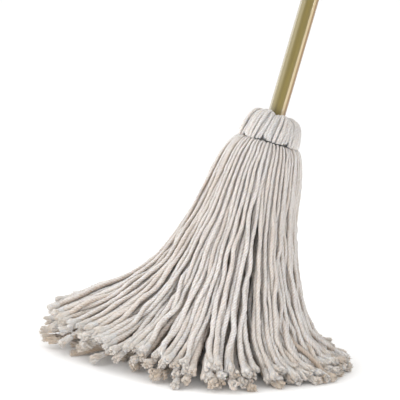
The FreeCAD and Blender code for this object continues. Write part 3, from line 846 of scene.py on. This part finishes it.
def tufts(mesh, ids, bottom=0.80, top=0.99):
    """Cut ends: the twist runs out, the plies loosen into a blunt brush of finer strands.

    Their UVs lie between bottom and top.
    """
    count = len(ids)
    rings = 11
    plies = 9
    share = np.linspace(0, 1, rings)[None, :]
    arcs = LENGTH[ids][:, None] - BRUSH + BRUSH * share
    lines = np.zeros((count, rings, 3))
    radii = np.zeros((count, rings))
    turns = np.zeros((count, rings))
    for k, i in enumerate(ids):
        for axis in range(3):
            lines[k, :, axis] = np.interp(arcs[k], ARC[i], LINES[i, :, axis])
        radii[k] = np.interp(arcs[k], ARC[i], RADIUS[i])
        turns[k] = np.interp(arcs[k], ARC[i], TURN[i])
    tangent, normal, side = frames(lines)
    turns = turns[:, :1] + (turns - turns[:, :1]) * (1 - 0.5 * share)
    draw = np.random.RandomState(900 + int(ids[0]))
    # the brush leans and curls a little
    curl = draw.normal(0, 1, (count, 1, 2)) * (share ** 2)[:, :, None] * 2.2
    lines = lines + normal * curl[..., :1] + side * curl[..., 1:]
    # one ply in the middle, eight round it
    ply_angle = np.concatenate([[0.0], np.arange(8) * math.pi / 4])[None, :, None]
    ply_radius = np.concatenate([[0.05], np.full(8, 0.60)])[None, :, None]
    share_3 = share[:, None, :]
    loose = np.clip((share_3 - 0.18) / 0.82, 0, 1) ** 1.3
    spread = (draw.uniform(0.20, 0.75, (count, plies, 1))
              * draw.uniform(0.65, 1.25, (count, 1, 1)) * loose)
    angle = turns[:, None, :] + ply_angle + draw.normal(0, 0.30, (count, plies, 1)) * share_3
    offset = radii[:, None, :] * (ply_radius + spread * (ply_radius > 0.3))
    strands = (lines[:, None] + (np.cos(angle) * offset)[..., None] * normal[:, None]
               + (np.sin(angle) * offset)[..., None] * side[:, None])
    shift = draw.uniform(-3.2, 1.4, (count, plies, 1, 1)) * (share ** 2)[:, None, :, None]
    strands = strands + tangent[:, None] * shift
    total = count * plies
    strands = strands.reshape(total, rings, 3)
    strands[:, :, 2] = np.maximum(strands[:, :, 2], 1.2)
    grow = draw.uniform(0.40, 0.52, (count, plies, 1))
    widths = (radii[:, None, :] * (grow + 0.10 * loose)).reshape(total, rings)
    widths *= 1 + 0.10 * draw.normal(0, 1, widths.shape) * share
    widths[:, -1] *= 0.72
    widths[:, -2] *= 0.92
    sides = 6
    lumps = 1 + 0.13 * draw.normal(0, 1, (total, rings, sides)) * share[:, :, None]
    tone = np.repeat(TONE[ids], plies) + draw.uniform(-0.15, 0.10, total)
    mesh.tubes(strands, widths, section=lumps, painted_shade=0.0, tone=tone,
               tip=tip_shades(0.78, 1.0, rings),
               cells=uv_cells(total, bottom, bottom + (top - bottom) * 0.6, rows=3),
               along_start=np.repeat(LENGTH[ids] - BRUSH, plies))

    # loose fibres
    per_ply = 5
    fibres = total * per_ply
    base = np.repeat(strands[:, -1], per_ply, axis=0)
    ahead = np.repeat(unit(strands[:, -1] - strands[:, -4]), per_ply, axis=0)
    ply_width = np.repeat(widths[:, -2], per_ply)
    away = draw.normal(0, 1, (fibres, 3))
    away -= (away * ahead).sum(1, keepdims=True) * ahead
    away = unit(away)
    root = draw.uniform(0.1, 0.8, (fibres, 1)) * ply_width[:, None]
    length = draw.uniform(1.4, 4.2, (fibres, 1))
    flare = draw.uniform(0.1, 0.9, (fibres, 1))
    part = np.linspace(0, 1, 4)[None, :, None]
    lines = (base[:, None] + away[:, None] * root[:, None]
             + ahead[:, None] * (part * length[:, None] - 1.4)
             + away[:, None] * (part ** 1.6) * (length * flare)[:, None] * 0.7
             + draw.normal(0, 0.3, (fibres, 4, 3)) * part)
    lines[:, :, 2] = np.maximum(lines[:, :, 2], 0.5)
    widths = draw.uniform(0.24, 0.42, (fibres, 1)) * (1 - 0.6 * part[:, :, 0])
    mesh.tubes(lines, widths, section=np.ones(3), painted_shade=0.0, tone=np.repeat(tone, per_ply),
               tip=tip_shades(0.85, 0.95, 4),
               cells=uv_cells(fibres, bottom + (top - bottom) * 0.62, top, rows=5),
               along_start=np.repeat(np.repeat(LENGTH[ids], plies), per_ply))


def skirt_part(ids, start, end, uv_top=0.99):
    """The solid yarns between two sets of ring numbers."""
    mesh = TubeMesh()
    lines = LINES[ids]
    places, marks = mesh.tubes(
        lines, SOLID_RADIUS[ids], SECTIONS[ids], GROOVE, tone=TONE[ids], tip=TIP[ids],
        cells=uv_cells(len(ids), 0.01, uv_top), turn=TURN[ids],
        span=np.stack([start[ids], end[ids]], axis=1))
    # painted shade: the sides and backs of the yarns, down in the gaps, get the darker, warmer groove colour
    skin = unit(places - lines[:, :, None])
    away = lines - (WAIST + ((lines - WAIST) @ POLE_UP)[..., None] * POLE_UP)
    run = unit(np.gradient(lines, axis=1))
    away = unit(away - (away * run).sum(-1, keepdims=True) * run)
    facing = (skin * away[:, :, None]).sum(-1)
    marks[..., PAINTED_SHADE_MARK] += 1.7 * np.clip((0.40 - facing) / 0.55, 0, 1)
    return mesh


def cut_part(ids, start):
    """Yarns from the given rings to their tufted ends."""
    mesh = skirt_part(ids, start, END, uv_top=0.79)
    tufts(mesh, ids)
    return mesh


for k in range(LOCK_COUNT):
    ids = np.where(~INNER & (SECTOR == k))[0]
    number = "%02d" % (k + 1)
    away = outward([TAU * k / LOCK_COUNT])[0]
    piece = skirt_part(ids, NECK, CUT).build("lock_yarn_" + number, "yarn_lock_" + number)
    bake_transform(piece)
    piece = cut_part(ids, CUT).build("tail_yarn_" + number, "yarn_tail_" + number)
    # the station on the run of the yarns nearest the tail's joint
    knee = joint_place("tail_%s_bend" % number)
    line = GRID[k * AZIMUTHS // LOCK_COUNT, KNEE_LAYER]
    j = int(np.argmin(np.linalg.norm(line - knee, axis=1)))
    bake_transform(piece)

for k in range(INNER_COUNT):
    ids = np.where(INNER & (SECTOR == k))[0]
    number = "%02d" % (k + 1)
    away = outward([TAU * (k + 0.5) / INNER_COUNT])[0]
    piece = cut_part(ids, NECK).build("inner_yarn_" + number, "inner_yarn_lock_" + number)
    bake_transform(piece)

neck = skirt_part(np.arange(YARNS), np.zeros(YARNS, int), NECK)
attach(neck.build("neck_yarn", "neck_yarn_wrap"), ROOT)

# ---------------------------------------------------------------------------
# The folded bulb, in lobes with creases between them
# ---------------------------------------------------------------------------
CREASES = np.radians([-180.0, -148.0, -99.0, -46.0, 6.0, 50.0, 94.0, 138.0, 180.0])
SLANT = np.radians(-19.0)
# each lobe: plumpness, how far it hangs over the wire in its middle and at its creases,
# and how much its crown rises
LOBES = [(1.01, 1.0, 0.9, 0.6), (1.04, 1.0, 0.74, 1.5), (1.0, 0.84, 0.74, -0.6),
         (1.05, 0.95, 0.9, -2.4), (0.99, 0.9, 0.9, -0.6), (1.02, 0.9, 0.9, 0.5),
         (0.99, 0.85, 0.9, -0.6), (1.01, 0.9, 0.9, 0.6)]
# yarn from the inner binding over the bulb to the waist, tight or hanging: radius, height
FOLD_TIGHT = np.array([
    (14.9, 27.0), (15.0, 31.5), (16.6, 35.8), (20.6, 38.4), (26.0, 38.9), (31.0, 36.8),
    (35.0, 32.4), (37.6, 26.8), (38.7, 20.5), (38.6, 14.5), (37.6, 9.6), (36.2, 6.6),
    (34.9, 5.3), (33.8, 4.6), (32.6, 3.4), (32.2, 1.0)])
FOLD_HANG = np.array([
    (14.9, 27.0), (15.0, 31.5), (16.6, 35.8), (20.6, 38.4), (26.0, 38.9), (31.0, 36.8),
    (35.0, 31.6), (37.6, 25.0), (39.4, 17.6), (40.6, 10.6), (41.2, 5.0), (41.0, 0.6),
    (39.4, -0.6), (37.3, 3.6), (33.2, 4.6), (32.2, 1.0)])
# rows of yarn from the outside in: depth, degrees between yarns, yarn radius
FOLD_ROWS = ((0.0, 6.9, 2.42), (0.115, 7.3, 2.42), (0.235, 8.6, 2.4))
FOLD_POINTS = 64
FOLD_RINGS = 64
FOLD_PITCH = 17.0


def fold_strand(azimuth, depth, lobe, sway, phase, bulge):
    """One doubled-over yarn: from the inner binding up, over and down to the waist."""
    plump, middle_hang, crease_hang, rise = LOBES[lobe]
    start, end = CREASES[lobe], CREASES[lobe + 1]
    outer_row = depth < 0.05
    dip = abs((azimuth - start) / (end - start) * 2 - 1) ** 2.2
    hang = (middle_hang * (1 - dip) + crease_hang * dip) * outer_row
    outline = FOLD_TIGHT * (1 - hang) + FOLD_HANG * hang
    share = np.linspace(0, 1, FOLD_POINTS)
    steps = np.linalg.norm(np.diff(outline, axis=0), axis=1)
    arc = np.concatenate([[0], np.cumsum(steps)])
    arc /= arc[-1]
    radius = np.interp(share, arc, outline[:, 0])
    height = np.interp(share, arc, outline[:, 1])
    for values in (radius, height):
        for _ in range(3):
            values[1:-1] = 0.25 * values[:-2] + 0.5 * values[1:-1] + 0.25 * values[2:]
    swell = np.sin(np.clip((share - 0.12) / 0.74, 0, 1) * math.pi) ** 0.7
    crown = np.clip(1 - share / 0.62, 0, 1) * np.clip(share / 0.2, 0, 1)
    radius = 12.0 + ((radius - 12.0) * (1 - (0.20 * dip + depth) * swell)
                     * (1 + (plump - 1) * swell))
    height = height - (3.4 * dip - rise) * crown * 2.0 - depth * 26.0 * swell * (share < 0.6)
    # over the wire, never through it
    at_wire = (radius > 32.8) & (radius < 38.6) & (share > 0.6)
    height = np.where(at_wire, np.maximum(height, 4.6), height)
    middle = 0.5 * (start + end)
    gather = 1 - 0.13 * (1 - swell) * outer_row
    azimuths = (middle + (azimuth - middle) * gather + SLANT * (share - 0.55)
                + sway * np.sin(share * 5.0 + phase) * swell)
    radius = radius + bulge * swell
    return WAIST + np.outer(height, POLE_UP) + outward(azimuths) * radius[:, None]


draw = np.random.RandomState(77)
fold_lines, fold_azimuths, fold_radii = [], [], []
for lobe in range(len(LOBES)):
    start, end = CREASES[lobe], CREASES[lobe + 1]
    for depth, step, radius in FOLD_ROWS:
        count = max(2, int(round(math.degrees(end - start) / step)))
        for j in range(count):
            azimuth = start + (end - start) * ((j + 0.5) / count) + draw.uniform(-0.02, 0.02)
            sway = draw.normal(0, 0.035)
            phase = draw.uniform(0, ROUGH_TAU)
            bulge = draw.normal(0, 0.55)
            row_depth = depth + draw.uniform(-0.012, 0.022)
            fold_lines.append(fold_strand(azimuth, row_depth, lobe, sway, phase, bulge))
            fold_azimuths.append(azimuth)
            fold_radii.append(radius * draw.uniform(0.90, 1.10))
fold_lines = resample(np.array(fold_lines), np.linspace(0, FOLD_POINTS - 1, FOLD_RINGS))
folds = len(fold_azimuths)
# thinner where the yarn is bound at both ends
fold_radii = np.array(fold_radii)[:, None] * np.interp(
    np.linspace(0, 1, FOLD_RINGS)[None, :],
    [0, 0.12, 0.35, 0.70, 0.80, 0.88, 1.0], [0.60, 0.74, 0.97, 1.0, 0.95, 0.70, 0.62])
fold_turns = (arc_lengths(fold_lines) / FOLD_PITCH * TAU
              + draw.uniform(0, ROUGH_TAU, (folds, 1)))
fold_tones = draw.uniform(0.50, 1.0, folds)
fold_sections = PLY * np.repeat(draw.uniform(0.93, 1.05, (folds, 1, 4)), 3, axis=2)
rough = draw.normal(0, 1, (folds, FOLD_RINGS, len(PLY)))
fold_sections = fold_sections * (1 + 0.05 * np.clip(rough, -2.2, 2.2))
sectors = np.round(np.array(fold_azimuths) / (TAU / LOCK_COUNT)).astype(int) % LOCK_COUNT
for k in range(LOCK_COUNT):
    ids = np.where(sectors == k)[0]
    number = "%02d" % (k + 1)
    mesh = TubeMesh()
    mesh.tubes(fold_lines[ids], fold_radii[ids], fold_sections[ids], GROOVE,
               tone=fold_tones[ids], tip=0.0, cells=uv_cells(len(ids), 0.01, 0.99),
               turn=fold_turns[ids])
    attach(mesh.build("fold_yarn_" + number, "yarn_fold_" + number), ROOT)

# Yarn lying along the pole under the inner wire, in two rings: radius, yarn count,
# share of a step the ring is turned by, lowest and highest height
WRAP_RINGS = ((14.3, 26, 0.0, 4.5, 33.0), (18.6, 32, 0.5, 4.5, 31.5))
WRAP_POINTS = 16
WRAP_YARN_RADIUS = 1.9
wrap_lines = []
for radius, count, offset, low, high in WRAP_RINGS:
    for j in range(count):
        away = outward([TAU * (j + offset) / count])[0]
        height = np.linspace(low, high, WRAP_POINTS)
        wavy = radius + 0.4 * np.sin(height * 0.3 + j)
        wrap_lines.append(WAIST + np.outer(height, POLE_UP) + np.outer(wavy, away))
wrap_lines = np.array(wrap_lines)
count = len(wrap_lines)
mesh = TubeMesh()
mesh.tubes(wrap_lines, np.full((count, WRAP_POINTS), WRAP_YARN_RADIUS), PLY, GROOVE,
           tone=draw.uniform(0.2, 0.9, count), tip=0.0, cells=uv_cells(count, 0.01, 0.99),
           turn=arc_lengths(wrap_lines) / FOLD_PITCH * ROUGH_TAU)
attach(mesh.build("inner_yarn_wrapped", "inner_yarn_wrap"), ROOT)

# ---------------------------------------------------------------------------
# Floor, world, lights and camera, in metres
# ---------------------------------------------------------------------------
scene = bpy.context.scene


def floor_material():
    material, nodes, shader = new_material("pale_floor")
    patches = nodes.noise(nodes.coords("Object"), scale=3.0)
    nodes.feed(shader, {
        "Base Color": nodes.tint((0.975, 0.975, 0.975), patches, (0.96, 0.96, 0.96),
                                 strength=0.3),
        "Roughness": 0.9,
        "Specular IOR Level": 0.05})
    return material


def floor():
    """An 80 m square of 2 m tiles, just under the yarns."""
    ticks = np.linspace(-40.0, 40.0, 41)
    size = len(ticks)
    corners = [(x, y, -0.0002) for x in ticks for y in ticks]
    faces = [(i * size + j, (i + 1) * size + j, (i + 1) * size + j + 1, i * size + j + 1)
             for i in range(size - 1) for j in range(size - 1)]
    mesh = bpy.data.meshes.new("floor")
    mesh.from_pydata(corners, [], faces)
    piece = bpy.data.objects.new("floor", mesh)
    scene.collection.objects.link(piece)
    mesh.materials.append(floor_material())


def studio_world():
    """White surroundings, dimmer from the front and the right, brighter from the left."""
    world = bpy.data.worlds.new("studio")
    scene.world = world
    world.use_nodes = True
    nodes = Graph(world.node_tree)
    sky = nodes.coords("Generated")
    front = nodes.times(nodes.vector("DOT_PRODUCT", sky, (0.0, -0.97, 0.10)), 0.83, clamp=True)
    across = nodes.split(sky)[0]
    left = nodes.times(across, -1.0, clamp=True)
    right = nodes.times(across, 1.0, clamp=True)
    strength = nodes.plus(nodes.minus(1.19, front),
                          nodes.times(nodes.math("POWER", left, 3.0), 1.1))
    strength = nodes.minus(strength, nodes.times(nodes.math("POWER", right, 2.0), 0.30))
    nodes.feed(world.node_tree.nodes["Background"],
               {"Strength": strength, "Color": (1.0, 0.997, 0.99, 1)})


def area(name, place, target, size, radiance, color=(1, 1, 1)):
    """Rectangular light of the given width and height, unseen by the camera."""
    light = bpy.data.lights.new(name, "AREA")
    light.shape = "RECTANGLE"
    light.size, light.size_y = size
    light.energy = radiance * math.pi * size[0] * size[1]
    light.color = color
    lamp = bpy.data.objects.new(name, light)
    lamp.location = place
    aim = Vector(target) - Vector(place)
    lamp.rotation_euler = aim.to_track_quat("-Z", "Y").to_euler()
    lamp.visible_camera = False
    scene.collection.objects.link(lamp)


def camera():
    """Looks at the waist from the front, a little from above, slightly rolled."""
    roll, elevation = math.radians(3.5), math.radians(8.0)
    distance = 1.7
    view_width = 0.5424         # seen across the picture at the waist
    back = Vector((0, -math.cos(elevation), math.sin(elevation)))
    right = (-back).cross(Vector((0, 0, 1))).normalized()
    above = right.cross(-back)
    rolled_right = right * math.cos(roll) + above * math.sin(roll)
    rolled_up = -right * math.sin(roll) + above * math.cos(roll)
    lens = bpy.data.cameras.new("camera")
    holder = bpy.data.objects.new("camera", lens)
    scene.collection.objects.link(holder)
    matrix = Matrix((rolled_right, rolled_up, back)).transposed().to_4x4()
    matrix.translation = Vector(WAIST / 1000.0) + back * distance
    holder.matrix_world = matrix
    lens.sensor_width = 36.0
    lens.sensor_fit = "HORIZONTAL"
    lens.lens = distance * 36.0 / view_width
    lens.shift_x = -0.17125
    lens.shift_y = -0.145
    lens.clip_start = 0.05
    scene.camera = holder


floor()
scene.view_settings.view_transform = "Standard"
studio_world()
area("key", place=(-1.9, -0.95, 1.7), target=(-0.05, 0, 0.15), size=(1.3, 1.3),
     radiance=1.36, color=(1.0, 0.99, 0.975))
area("strip_right", place=(1.13, -0.55, 0.9), target=(0.1, 0.0, 0.5), size=(0.10, 1.6),
     radiance=9.0)
area("low_left", place=(-1.0, -0.9, 0.25), target=(-0.15, 0.0, 0.05), size=(0.7, 0.35),
     radiance=2.6)
area("low_front", place=(-0.10, -0.80, 0.12), target=(-0.08, -0.1, 0.05), size=(1.0, 0.18),
     radiance=4.1)
area("panel_left", place=(-1.3, 0.9, 0.9), target=(0.0, 0.0, 0.4), size=(0.65, 1.5),
     radiance=1.9)
camera()
